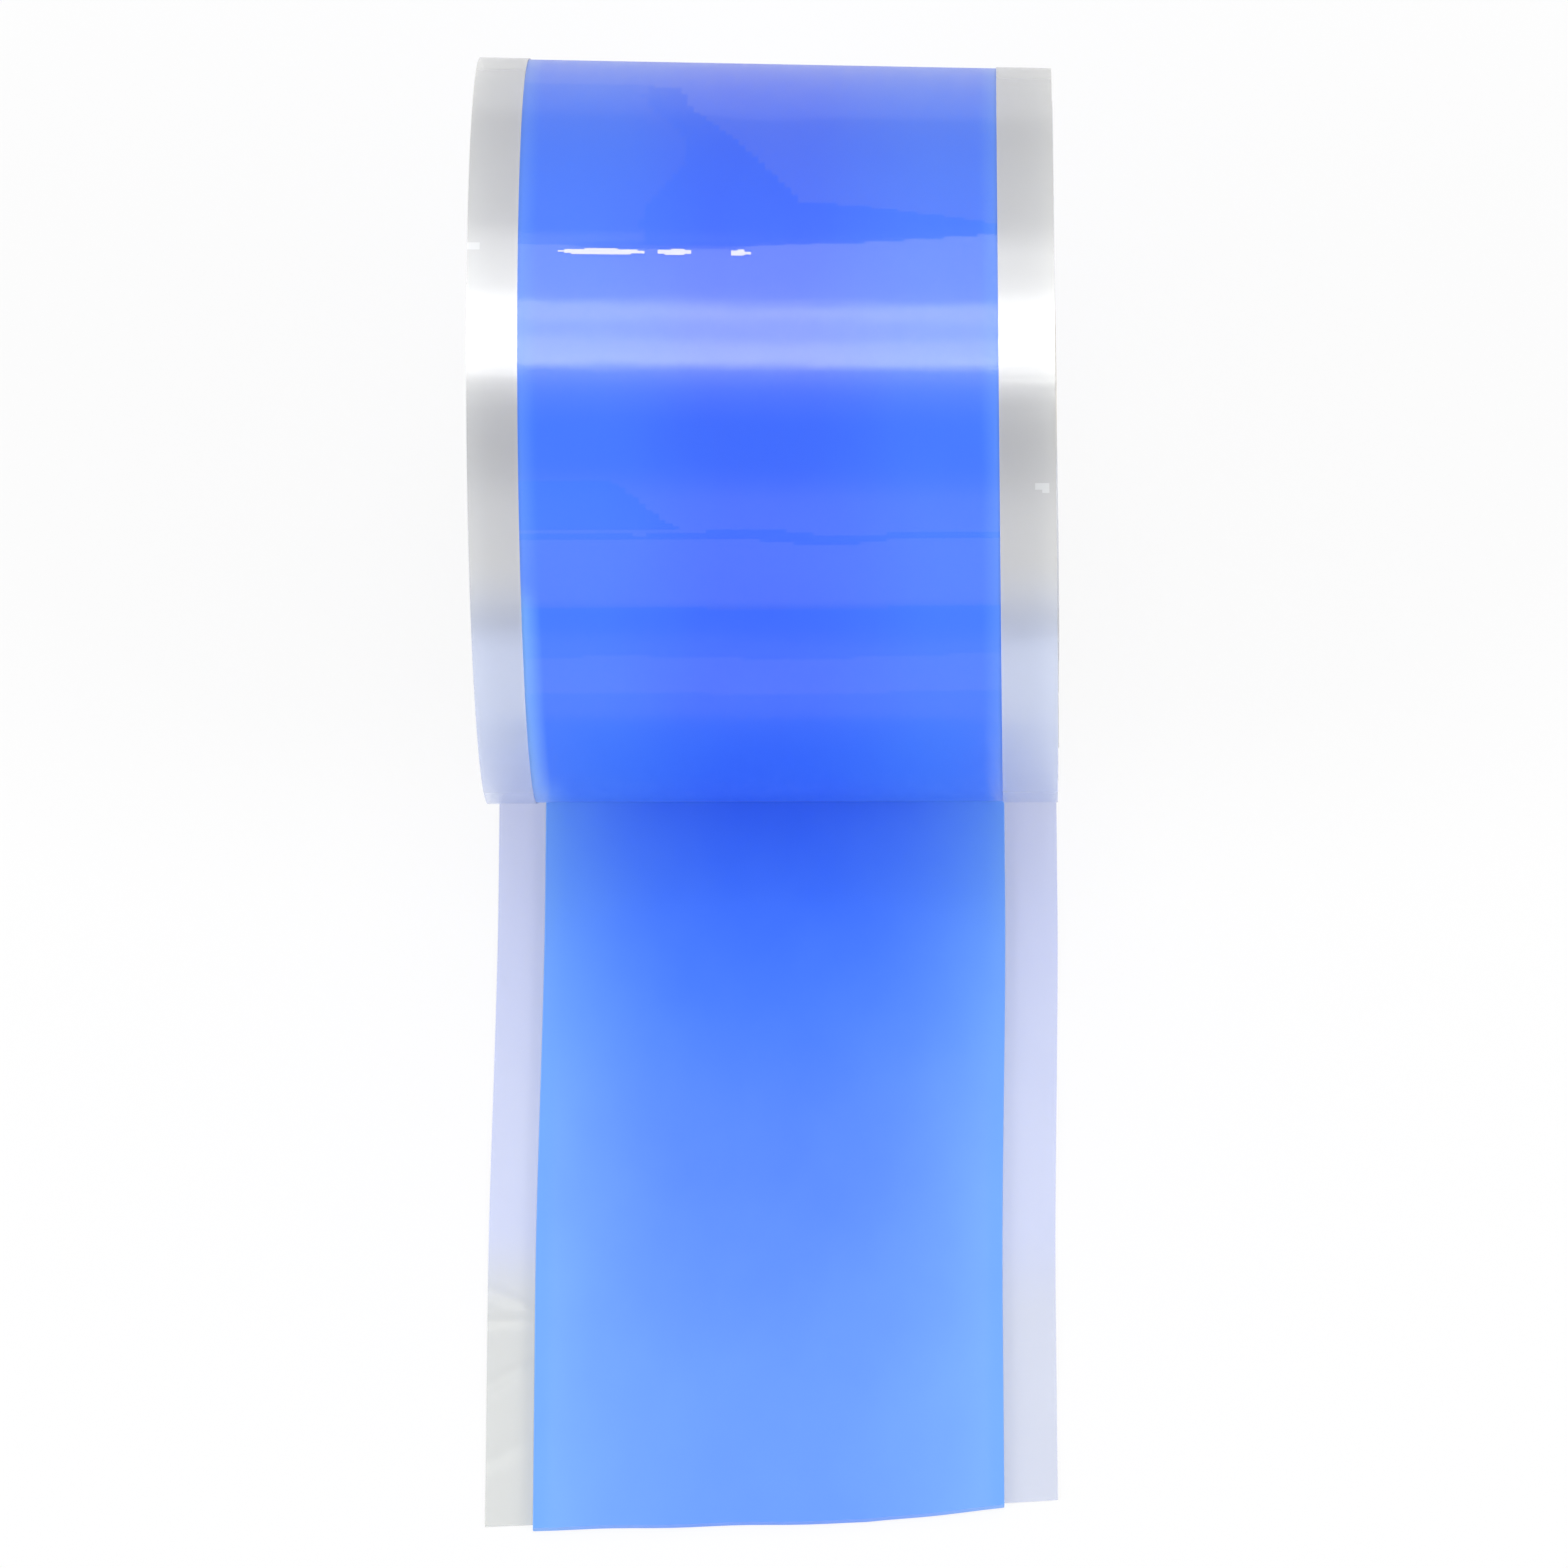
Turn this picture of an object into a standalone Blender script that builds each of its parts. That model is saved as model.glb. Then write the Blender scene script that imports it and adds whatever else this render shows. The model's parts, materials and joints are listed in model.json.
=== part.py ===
"""Grip tape roll: soft rubber tape on a clear liner film, wound on a paperboard core, with a short free tail.

Metres, +Z up. The origin is the table point below the roll's axis. The axis runs along X, and the tail leaves
the bottom of the roll along -Y. Both strips are divided at the lines where they bend, and each stretch between
two such lines hangs on an empty that sits on its bend line.
"""

import math

import bmesh
import bpy
from mathutils import Vector

MM = 0.001

# Tape and liner. The liner is the outer layer of each turn, so on the tail it lies below the tape.
TAPE_WIDTH = 25.0 * MM
TAPE_THICK = 0.5 * MM
TAPE_SHIFT = -0.15 * MM
LINER_WIDTH = 30.4 * MM
LINER_THICK = 0.1 * MM
LAYER_GAP = 0.2 * MM

# Core and the tack strip that holds the inner end of the tape
CORE_BORE = 17.0 * MM
CORE_WALL = 1.5 * MM
CORE_OVERHANG = 0.2 * MM
CORE_CHAMFER = 0.25 * MM
CORE_SIDES = 48
TACK_WIDTH = 20.0 * MM
TACK_THICK = 0.25 * MM
TACK_FACETS = 3

# Winding: each turn is made of flat facets, and facet 0 is the flat one on the table.
TURNS = 8.625
FACETS = 24

# Free tail, measured from the plane through the roll's axis to the middle of its cut end
TAIL_LENGTH = 53.8 * MM
CUT_SLANT = 1.5 * MM
BASE_LENGTH = 10.0 * MM
STUCK_LENGTH = 4.0 * MM
TIP_LENGTH = 8.0 * MM
LIFT_LINES = 5

# Bend lines
UNWIND_LINES = 6
BEND_GAP = 0.3 * MM

# Depths into the strip, from the liner's outer face
LINER_DEPTHS = (0.0, LINER_THICK)
TAPE_DEPTHS = (LINER_THICK + LAYER_GAP, LINER_THICK + LAYER_GAP + TAPE_THICK)
BEND_DEPTH = TAPE_DEPTHS[1] / 2
PITCH = TAPE_DEPTHS[1] + LAYER_GAP

# Sides of each layer across the strip
TAPE_SIDES = (TAPE_SHIFT - TAPE_WIDTH / 2, TAPE_SHIFT + TAPE_WIDTH / 2)
LINER_SIDES = (-LINER_WIDTH / 2, LINER_WIDTH / 2)
TACK_SIDES = (TAPE_SHIFT - TACK_WIDTH / 2, TAPE_SHIFT + TACK_WIDTH / 2)

# The roll grows outwards from the core.
CORE_RADIUS = CORE_BORE / 2 + CORE_WALL
TACK_RADIUS = CORE_RADIUS + LAYER_GAP + TACK_THICK
ROLL_RADIUS = TACK_RADIUS + LAYER_GAP + TAPE_DEPTHS[1] + PITCH * TURNS
LAST_FACET = round(TURNS * FACETS)
FACET_TURN = 2 * math.pi / FACETS

SMOOTH_ANGLE = math.radians(30)


def outward(facet):
    """Direction from the axis to a facet, as (y, z): facet 0 points down and later ones climb the back."""
    return Vector((math.sin(facet * FACET_TURN), -math.cos(facet * FACET_TURN)))


def along(facet):
    """Direction along a facet, inwards through the winding."""
    return Vector((math.cos(facet * FACET_TURN), math.sin(facet * FACET_TURN)))


def facet_middle(facet, depth):
    """Middle of a facet at a depth into the strip, as (y, z)."""
    radius = ROLL_RADIUS - PITCH * facet / FACETS - depth
    return Vector((0, ROLL_RADIUS)) + outward(facet) * radius


def corner(facet, depth):
    """Where a facet meets the next one at a depth into the strip, as (y, z)."""
    start = facet_middle(facet, depth)
    step = facet_middle(facet + 1, depth) - start
    reach = step.dot(outward(facet + 1)) / along(facet).dot(outward(facet + 1))
    return start + along(facet) * reach


def end_face(point, facet, depths, step):
    """Outer and inner point of a square end face, a step along the facet from a point at bend depth."""
    shift = along(facet) * step
    return [point + shift - outward(facet) * (depth - BEND_DEPTH) for depth in depths]


def flat_piece(start, stop, facet, depths):
    """Faces of a flat piece between two bend points, with half a bend gap left at both ends."""
    return [
        end_face(start, facet, depths, BEND_GAP / 2),
        end_face(stop, facet, depths, -BEND_GAP / 2),
    ]


def winding(depths):
    """Faces of the wound strip, from the last unwinding line to the inner end on the core."""
    first = corner(UNWIND_LINES - 1, BEND_DEPTH)
    faces = [end_face(first, UNWIND_LINES, depths, BEND_GAP / 2)]
    for facet in range(UNWIND_LINES, LAST_FACET):
        faces.append([corner(facet, depth) for depth in depths])
    faces.append([facet_middle(LAST_FACET, depth) for depth in depths])
    return faces


def tack_arc():
    """Faces of the tack strip, which lies along the last facets between the core and the tape."""
    outer = TAPE_DEPTHS[1] + LAYER_GAP
    depths = (outer, outer + TACK_THICK)
    first = LAST_FACET - TACK_FACETS
    faces = [[facet_middle(first, depth) for depth in depths]]
    for facet in range(first, LAST_FACET):
        faces.append([corner(facet, depth) for depth in depths])
    faces.append([facet_middle(LAST_FACET, depth) for depth in depths])
    return faces


def least_gap(faces):
    """Shortest distance from the inner face of a turn to the outer face of the next turn inwards, on points."""
    gaps = []
    for index, (_, inner) in enumerate(faces):
        for outer, _ in faces[index + FACETS // 2 :]:
            gaps.append((outer - inner).length)
    return min(gaps)


def material(name, colour, roughness, alpha=1.0):
    made = bpy.data.materials.new(name)
    made.use_nodes = True
    shader = made.node_tree.nodes["Principled BSDF"]
    shader.inputs["Base Color"].default_value = (*colour, 1.0)
    shader.inputs["Roughness"].default_value = roughness
    shader.inputs["Metallic"].default_value = 0.0
    shader.inputs["Alpha"].default_value = alpha
    return made


def empty(name, y, z, parent=None):
    """An empty at a point of the part, which carries the pieces that turn about it."""
    made = bpy.data.objects.new(name, None)
    bpy.context.scene.collection.objects.link(made)
    made.parent = parent
    home = Vector((0, y, z))
    made.location = home - place_of(parent) if parent else home
    return made


def place_of(carrier):
    """An empty's place in the part."""
    place = Vector((0, 0, 0))
    while carrier:
        place += carrier.location
        carrier = carrier.parent
    return place


def add_object(name, shape, carrier, finish):
    """Turns a bmesh drawn in the part's frame into an object that hangs on its carrier."""
    bmesh.ops.translate(shape, verts=shape.verts, vec=-place_of(carrier))
    bmesh.ops.recalc_face_normals(shape, faces=shape.faces)
    mesh = bpy.data.meshes.new(name)
    shape.to_mesh(mesh)
    shape.free()
    mesh.shade_smooth()
    mesh.set_sharp_from_angle(angle=SMOOTH_ANGLE)
    mesh.materials.append(finish)
    made = bpy.data.objects.new(name, mesh)
    bpy.context.scene.collection.objects.link(made)
    made.parent = carrier
    return made


def strip(name, faces, sides, carrier, finish, slant=0.0):
    """A strip through its cross faces, wide as its two sides. Slant leans the last face across the strip."""
    shape = bmesh.new()
    rings = []
    for index, (outer, inner) in enumerate(faces):
        ring = []
        for point, side in ((outer, 0), (outer, 1), (inner, 1), (inner, 0)):
            lean = slant * sides[side] / LINER_WIDTH if index == len(faces) - 1 else 0.0
            ring.append(shape.verts.new((sides[side], point.x + lean, point.y)))
        rings.append(ring)
    for ring, other in zip(rings, rings[1:]):
        for side in range(4):
            after = (side + 1) % 4
            shape.faces.new((ring[side], ring[after], other[after], other[side]))
    shape.faces.new(rings[0])
    shape.faces.new(rings[-1])
    return add_object(name, shape, carrier, finish)


def core_tube(carrier, finish):
    """The paperboard tube: a chamfered wall section spun about the roll's axis."""
    half = LINER_WIDTH / 2 + CORE_OVERHANG
    inside = CORE_BORE / 2
    section = [
        (-half, inside + CORE_CHAMFER),
        (-half, CORE_RADIUS - CORE_CHAMFER),
        (-half + CORE_CHAMFER, CORE_RADIUS),
        (half - CORE_CHAMFER, CORE_RADIUS),
        (half, CORE_RADIUS - CORE_CHAMFER),
        (half, inside + CORE_CHAMFER),
        (half - CORE_CHAMFER, inside),
        (-half + CORE_CHAMFER, inside),
    ]
    shape = bmesh.new()
    verts = [shape.verts.new((x, 0, ROLL_RADIUS + radius)) for x, radius in section]
    edges = [shape.edges.new(pair) for pair in zip(verts, verts[1:] + verts[:1])]
    bmesh.ops.spin(
        shape,
        geom=verts + edges,
        cent=(0, 0, ROLL_RADIUS),
        axis=(1, 0, 0),
        angle=2 * math.pi,
        steps=CORE_SIDES,
        use_merge=True,
    )
    return add_object("core_tube", shape, carrier, finish)


def build_roll(carrier, tape, liner, board, tack):
    core_tube(carrier, board)
    strip("core_tack_strip", tack_arc(), TACK_SIDES, carrier, tack)
    for name, depths, sides, finish in (
        ("tape_winding", TAPE_DEPTHS, TAPE_SIDES, tape),
        ("liner_winding", LINER_DEPTHS, LINER_SIDES, liner),
    ):
        faces = winding(depths)
        strip(name, faces, sides, carrier, finish)
        print(f"{name}: least gap to itself {least_gap(faces) / MM:.2f} mm")


def strip_pair(name, start, stop, facet, carrier, tape, liner):
    """A flat stretch of tape and liner between two bend points."""
    for layer, depths, sides, finish in (
        ("tape", TAPE_DEPTHS, TAPE_SIDES, tape),
        ("liner", LINER_DEPTHS, LINER_SIDES, liner),
    ):
        strip(f"{layer}_{name}", flat_piece(start, stop, facet, depths), sides, carrier, finish)


def tail_point(distance):
    """A point at bend depth on the flat tail, at a distance from the plane through the roll's axis."""
    return Vector((-distance, BEND_DEPTH))


def build_turns(base, tape, liner):
    """The stretches of the last quarter turn that lie flat once unwound. Returns the empty that carries the roll."""
    carrier = base
    for line in range(UNWIND_LINES):
        place = corner(line, BEND_DEPTH)
        carrier = empty(f"unwind_line_{line + 1}", place.x, place.y, carrier)
        if line + 1 < UNWIND_LINES:
            stop = corner(line + 1, BEND_DEPTH)
            strip_pair(f"turn_{line + 1}", place, stop, line + 1, carrier, tape, liner)
    return carrier


def build_tail(base, tape, liner):
    """The stretches of the free tail, the last with a square-cut liner end and a tape tip that peels."""
    end_length = STUCK_LENGTH + TIP_LENGTH
    step = (TAIL_LENGTH - BASE_LENGTH - end_length) / (LIFT_LINES - 1)
    carrier = base
    for line in range(LIFT_LINES - 1):
        place = tail_point(BASE_LENGTH + step * line)
        carrier = empty(f"lift_line_{line + 1}", place.x, place.y, carrier)
        strip_pair(f"tail_{line + 1}", tail_point(BASE_LENGTH + step * (line + 1)), place, 0, carrier, tape, liner)

    place = tail_point(TAIL_LENGTH - end_length)
    carrier = empty(f"lift_line_{LIFT_LINES}", place.x, place.y, carrier)
    peel = tail_point(TAIL_LENGTH - TIP_LENGTH)
    cut = tail_point(TAIL_LENGTH)
    stuck = flat_piece(peel, place, 0, TAPE_DEPTHS)
    strip(f"tape_tail_{LIFT_LINES}", stuck, TAPE_SIDES, carrier, tape)
    under = [end_face(place, 0, LINER_DEPTHS, -BEND_GAP / 2), end_face(cut, 0, LINER_DEPTHS, 0)]
    strip(f"liner_tail_{LIFT_LINES}", under, LINER_SIDES, carrier, liner, CUT_SLANT)

    tip_carrier = empty("peel_line", peel.x, TAPE_DEPTHS[1], carrier)
    tip = [end_face(peel, 0, TAPE_DEPTHS, -BEND_GAP / 2), end_face(cut, 0, TAPE_DEPTHS, 0)]
    strip("tape_tip", tip, TAPE_SIDES, tip_carrier, tape, CUT_SLANT)


def clear_scene():
    for old in list(bpy.data.objects):
        bpy.data.objects.remove(old)


def main():
    clear_scene()
    tape = material("blue_rubber", (0.06, 0.19, 0.95), 0.45)
    liner = material("clear_film", (0.85, 0.87, 0.90), 0.12, alpha=0.4)
    board = material("paperboard", (0.72, 0.68, 0.60), 0.85)
    tack = material("tack_tape", (0.88, 0.86, 0.78), 0.60)

    base = empty("table_rest", 0, 0)
    strip_pair("base", tail_point(BASE_LENGTH), corner(0, BEND_DEPTH), 0, base, tape, liner)
    build_roll(build_turns(base, tape, liner), tape, liner, board, tack)
    build_tail(base, tape, liner)

    for carrier in bpy.data.objects:
        if carrier.type == "EMPTY":
            _, y, z = place_of(carrier)
            print(f"{carrier.name}: y {y / MM:.3f} mm, z {z / MM:.3f} mm")


main()
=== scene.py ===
"""Looks of the grip tape roll: the wound tape and its clear liner film, the free tail, the paper core,
a pale floor, soft light and the camera.

Metres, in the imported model's frame. The roll's axis runs along X and the tail leaves its bottom along -Y.
A place on the winding is a turn angle in degrees: 0 is straight below the axis, 90 the back, 180 the top, and
the angle grows on inwards through the turns. A place on the tail is its distance from the plane of the axis.
"""

import json
import math
import random
from typing import NamedTuple

import bpy
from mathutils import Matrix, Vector


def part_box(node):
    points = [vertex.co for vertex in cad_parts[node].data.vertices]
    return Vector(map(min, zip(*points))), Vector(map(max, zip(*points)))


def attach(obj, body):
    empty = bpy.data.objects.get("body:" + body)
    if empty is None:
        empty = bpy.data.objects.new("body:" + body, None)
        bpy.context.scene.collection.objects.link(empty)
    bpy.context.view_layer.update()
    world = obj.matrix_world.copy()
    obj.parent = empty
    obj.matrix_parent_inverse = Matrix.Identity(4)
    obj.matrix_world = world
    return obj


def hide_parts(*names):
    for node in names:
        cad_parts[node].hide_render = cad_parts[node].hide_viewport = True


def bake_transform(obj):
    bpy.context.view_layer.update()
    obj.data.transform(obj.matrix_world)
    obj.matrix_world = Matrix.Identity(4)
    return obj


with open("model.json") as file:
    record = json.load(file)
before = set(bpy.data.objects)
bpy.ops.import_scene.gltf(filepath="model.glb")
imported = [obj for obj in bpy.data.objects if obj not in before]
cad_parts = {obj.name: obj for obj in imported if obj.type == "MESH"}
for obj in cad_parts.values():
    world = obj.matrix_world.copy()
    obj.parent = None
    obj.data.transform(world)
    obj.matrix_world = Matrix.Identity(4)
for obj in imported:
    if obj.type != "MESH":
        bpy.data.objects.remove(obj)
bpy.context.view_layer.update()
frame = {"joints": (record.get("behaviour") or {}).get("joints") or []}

MM = 0.001

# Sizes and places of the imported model
CORE_LOW, CORE_HIGH = (Vector(corner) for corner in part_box("core_tube"))
FILM_LOW, FILM_HIGH = (Vector(corner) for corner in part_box("liner_base"))
TAPE_LOW, TAPE_HIGH = (Vector(corner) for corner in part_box("tape_base"))
CUT_LOW = Vector(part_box("liner_tail_5")[0])
HINGES = {joint["name"]: Vector(joint["pos_m"]) for joint in frame["joints"]}

ROLL_RADIUS = (CORE_LOW.z + CORE_HIGH.z) / 2
CORE_RADIUS = (CORE_HIGH.z - CORE_LOW.z) / 2
CORE_HALF = CORE_HIGH.x
CORE_WALL = 1.5 * MM
CUT_SLANT = 1.5 * MM
CUT_ZONE = 8 * MM
TAIL_LENGTH = -CUT_LOW.y - CUT_SLANT / 2

# The real layers touch, so the strip here is wound tighter than the model's stand-in winding.
FILM_DEPTHS = (0.0, 0.06 * MM)
TAPE_DEPTHS = (0.07 * MM, 0.57 * MM)
PITCH = 0.58 * MM
TAPE_ROUND = 0.08 * MM
ROUND_SHARE = 0.3
TACK_THICK = 0.25 * MM
TACK_HALF = 10.0 * MM
TACK_ANGLE = 45
TACK_COLUMNS = 6
LAYER_GAP = 0.01 * MM
CORE_GAP = 0.03 * MM

# Turn angles of the winding
FACET_ANGLE = 15
UNWOUND_ANGLE = 90
UNWIND_LINES = UNWOUND_ANGLE // FACET_ANGLE
TURN = 360
INNER_RADIUS = CORE_RADIUS + TACK_THICK + CORE_GAP
LAST_ANGLE = TURN * (ROLL_RADIUS - TAPE_DEPTHS[1] - INNER_RADIUS) / PITCH

# Fineness of the meshes, in degrees and metres
FINE_STEP = 0.5
FOLD_STEP = 0.2
FOLD_ZONE = (175.5, 178.5)
TURN_STEP = 1.5
INNER_STEP = 4.0
TAIL_STEP = 0.5 * MM
TAIL_FILM_STEP = 0.2 * MM
FILM_COLUMNS = (72, 8)
TAIL_COLUMNS = (24, 10)
BEND_COLUMNS = (36, 4)
INNER_FILM_COLUMNS = (8, 3)
TAPE_COLUMNS = 24
INNER_COLUMNS = 8

# The roll leans a little to one side and is a little wider on the left, and its turns are not quite in line.
LEAN_MIDDLE = 0.30 * MM
LEAN = 0.44 * MM
TAIL_DRIFT_END = 0.41 * MM
TAIL_DRIFT_ZONE = (18 * MM, 42 * MM)
CONE = 0.29 * MM
CONE_RISE = 28
CONE_REST = 30
TURN_WOBBLE = 0.07 * MM
WOBBLE_RATE = 2.4

# How far the table lies below the film
FLOOR_DROP = 0.03 * MM


class Row(NamedTuple):
    """A place along the strip.

    outer is a point of the film's outer face and outward the way out of the roll, both as y and z. The strip
    lies drift to the right there. angle and length say how far along it is, and lean how much of the cut's
    slant it has.
    """

    outer: Vector
    outward: Vector
    drift: float
    angle: float
    length: float
    lean: float


class Crease(NamedTuple):
    """A ridge in the loose film, from one place to another: along in degrees on the roll, the rest in mm."""

    along: float
    across: float
    end_along: float
    end_across: float
    height: float
    width: float
    wave: float = 0.0


def smooth(low, high, value):
    share = min(1.0, max(0.0, (value - low) / (high - low)))
    return share * share * (3 - 2 * share)


def spread(low, high, count):
    return [low + (high - low) * index / count for index in range(count + 1)]


def steps(low, high, step):
    return spread(low, high, max(1, math.ceil(abs(high - low) / step)))


def winding_row(angle):
    turn = math.radians(angle)
    outward = Vector((math.sin(turn), -math.cos(turn)))
    outer = Vector((0, ROLL_RADIUS)) + outward * (ROLL_RADIUS - PITCH * angle / TURN)
    wobble = TURN_WOBBLE * math.sin(WOBBLE_RATE * angle / TURN) * smooth(TURN, 2 * TURN, angle)
    drift = LEAN_MIDDLE + LEAN * math.cos(turn) + wobble
    length = turn * (ROLL_RADIUS - PITCH * angle / TURN / 2)
    return Row(outer, outward, drift, angle, length, 0.0)


def tail_row(distance):
    start = LEAN_MIDDLE + LEAN
    drift = start + (TAIL_DRIFT_END - start) * smooth(*TAIL_DRIFT_ZONE, distance)
    lean = smooth(TAIL_LENGTH - CUT_ZONE, TAIL_LENGTH, distance)
    return Row(Vector((-distance, 0)), Vector((0, -1)), drift, 0.0, -distance, lean)


def winding_rows(start, stop, step):
    return [winding_row(angle) for angle in steps(start, stop, step)]


def outer_film_rows():
    """Rows of the outer turn's film, finer along its sharpest folds."""
    low, high = FOLD_ZONE
    angles = steps(UNWOUND_ANGLE, low, FINE_STEP)[:-1]
    angles += steps(low, high, FOLD_STEP)[:-1]
    angles += steps(high, UNWOUND_ANGLE + TURN, FINE_STEP)
    return [winding_row(angle) for angle in angles]


def tail_rows(start, stop, step=TAIL_STEP):
    return [tail_row(distance) for distance in steps(start, stop, step)]


# Creases and ripples of the loose film on the outer turn

CREASE_REACH = 3
CREASE_WAVE_RATE = 1.3
RIPPLE_FADE_IN = 8
RIPPLE_FADE_OUT = 12

CREASES = [
    Crease(177.1, -11.0, 177.1, 0.5, 0.030, 0.40),
    Crease(176.2, -1.5, 173.2, 12.6, 0.016, 0.45),
    Crease(146.4, -4.0, 171.8, 12.6, 0.050, 1.60),
    Crease(220.9, -12.6, 221.3, 12.6, 0.016, 0.35, 0.25),
    Crease(232.5, -12.6, 232.0, 12.6, 0.020, 0.80),
    Crease(241.5, -12.6, 240.5, 12.6, 0.020, 0.70),
    Crease(248.5, -12.6, 248.0, 12.6, 0.024, 0.90),
    Crease(187.6, -12.6, 187.2, 12.6, 0.008, 0.50, 0.2),
    Crease(192.7, -12.6, 192.4, 12.6, 0.008, 0.50, 0.2),
]

# Ranges that the faint ripples are drawn from, in degrees along the strip and otherwise in mm
FAINT_COUNT = 36
FAINT_SEED = 4
FAINT_ALONG = (100, 440)
FAINT_LEFT = (-15, 0)
FAINT_SPAN = (8, 22)
FAINT_BEND = (-1.5, 1.5)
FAINT_HEIGHT = (0.003, 0.008)
FAINT_WIDTH = (0.4, 1.2)
FAINT_WAVE = 0.1


def faint_creases():
    """Faint ripples all round the outer turn, so that it shimmers from every side."""
    draw = random.Random(FAINT_SEED)
    made = []
    for _ in range(FAINT_COUNT):
        angle = draw.uniform(*FAINT_ALONG)
        left = draw.uniform(*FAINT_LEFT)
        right = left + draw.uniform(*FAINT_SPAN)
        bend = draw.uniform(*FAINT_BEND)
        height = draw.uniform(*FAINT_HEIGHT)
        width = draw.uniform(*FAINT_WIDTH)
        made.append(Crease(angle, left, angle + bend, right, height, width, FAINT_WAVE))
    return made


ALL_CREASES = CREASES + faint_creases()

# Small folds in the tail's left margin, and the curl of both margins
TAIL_FOLDS = [
    Crease(40.4, -16.6, 42.8, -11.4, 0.090, 0.35),
    Crease(43.0, -16.6, 42.7, -11.4, 0.070, 0.30),
    Crease(47.6, -16.6, 44.2, -11.4, 0.080, 0.45),
    Crease(51.2, -16.6, 48.6, -11.4, 0.050, 0.50),
]
FOLD_RISE = 0.3
CURL_HEIGHT = 0.10 * MM
CURL_WAVE = (0.6, 0.4)
CURL_RATE = 0.55
CURL_START_LEFT = 2.0
CURL_START_RIGHT = 0.3
CURL_ZONE = (8 * MM, 16 * MM)


def crease_height(crease, along, across, along_unit):
    """Height of a crease at a place on the strip, in mm. The unit is how many mm one step along is."""
    share = (across - crease.across) / (crease.end_across - crease.across)
    if not 0 < share < 1:
        return 0.0
    middle = crease.along + (crease.end_along - crease.along) * share
    middle += crease.wave * math.sin(across * CREASE_WAVE_RATE)
    off = (along - middle) * along_unit / crease.width
    if abs(off) > CREASE_REACH:
        return 0.0
    return crease.height * math.sqrt(math.sin(math.pi * share)) * math.exp(-off * off)


def film_ripple(row, x):
    """How far the loose film of the outer turn stands off the tape."""
    fade = smooth(UNWOUND_ANGLE, UNWOUND_ANGLE + RIPPLE_FADE_IN, row.angle)
    fade *= 1 - smooth(UNWOUND_ANGLE + TURN - RIPPLE_FADE_OUT, UNWOUND_ANGLE + TURN, row.angle)
    across = x / MM
    unit = math.radians(1) * ROLL_RADIUS / MM
    return fade * MM * sum(crease_height(crease, row.angle, across, unit) for crease in ALL_CREASES)


def tail_curl(row, x):
    """How far the bare margins of the film curl up from the table on the tail: negative is up."""
    margin = max(TAPE_LOW.x - x, x - TAPE_HIGH.x, 0) / (FILM_HIGH.x - TAPE_HIGH.x)
    start = CURL_START_LEFT if x < 0 else CURL_START_RIGHT
    wave = CURL_WAVE[0] + CURL_WAVE[1] * math.sin(row.length / MM * CURL_RATE + start)
    free = smooth(*CURL_ZONE, -row.length)
    folds = sum(crease_height(crease, -row.length / MM, x / MM, 1.0) for crease in TAIL_FOLDS)
    return -CURL_HEIGHT * margin * margin * wave * free - folds * MM * smooth(0.0, FOLD_RISE, margin)


def no_lift(row, x):
    return 0.0


def film_cut(x):
    """How much longer the film's cut end is at a place across the strip."""
    return -CUT_SLANT * x / (FILM_HIGH.x - FILM_LOW.x)


# The tape's cut end, in mm: how far it reaches on the left, and its two slopes towards the right
TAPE_CUT_REACH = 0.97
TAPE_CUT_LEFT = 12.6
TAPE_CUT_SLOPE = 0.026
TAPE_CUT_TURN = 5.0
TAPE_CUT_STEEPER = 0.085
TAPE_CUT_WAVE = 0.03
TAPE_CUT_RATE = 0.9


def tape_cut(x):
    """How much longer the tape is at a place across: nearly square on the left, slanting on the right."""
    across = x / MM
    reach = TAPE_CUT_REACH - TAPE_CUT_SLOPE * (across + TAPE_CUT_LEFT)
    reach -= TAPE_CUT_STEEPER * max(0.0, across - TAPE_CUT_TURN)
    return (reach + TAPE_CUT_WAVE * math.sin(across * TAPE_CUT_RATE)) * MM


def cone_share(angle):
    """How much wider the roll is on its left: not at all on the last quarter turn, which is to lie flat."""
    angle = angle % TURN
    if angle < TURN / 2:
        return smooth(UNWOUND_ANGLE, UNWOUND_ANGLE + CONE_RISE, angle)
    return 1 - smooth(TURN / 2, TURN - CONE_REST, angle)


def place(row, x, depth, lift, cut):
    """The point of a strip layer at a row, a place across it and a depth below the film's outer face."""
    cone = -CONE * x / FILM_HIGH.x * cone_share(row.angle)
    point = row.outer + row.outward * (lift(row, x) + cone - depth)
    return (x + row.drift, point.x - row.lean * cut(x), point.y)


# Meshes

MARGIN_START = (TAPE_LOW.x + TAPE_ROUND, TAPE_HIGH.x - TAPE_ROUND)
STRIP_SHARP_ANGLE = math.radians(40)
CORE_SHARP_ANGLE = math.radians(30)


def film_section(columns, margin_columns):
    """The film's outline across the strip: its outer face from left to right, then its inner face back."""
    left, right = MARGIN_START
    across = spread(FILM_LOW.x, left, margin_columns)[:-1]
    across += spread(left, right, columns)
    across += spread(right, FILM_HIGH.x, margin_columns)[1:]
    return [(x, FILM_DEPTHS[0]) for x in across] + [(x, FILM_DEPTHS[1]) for x in reversed(across)]


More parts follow.
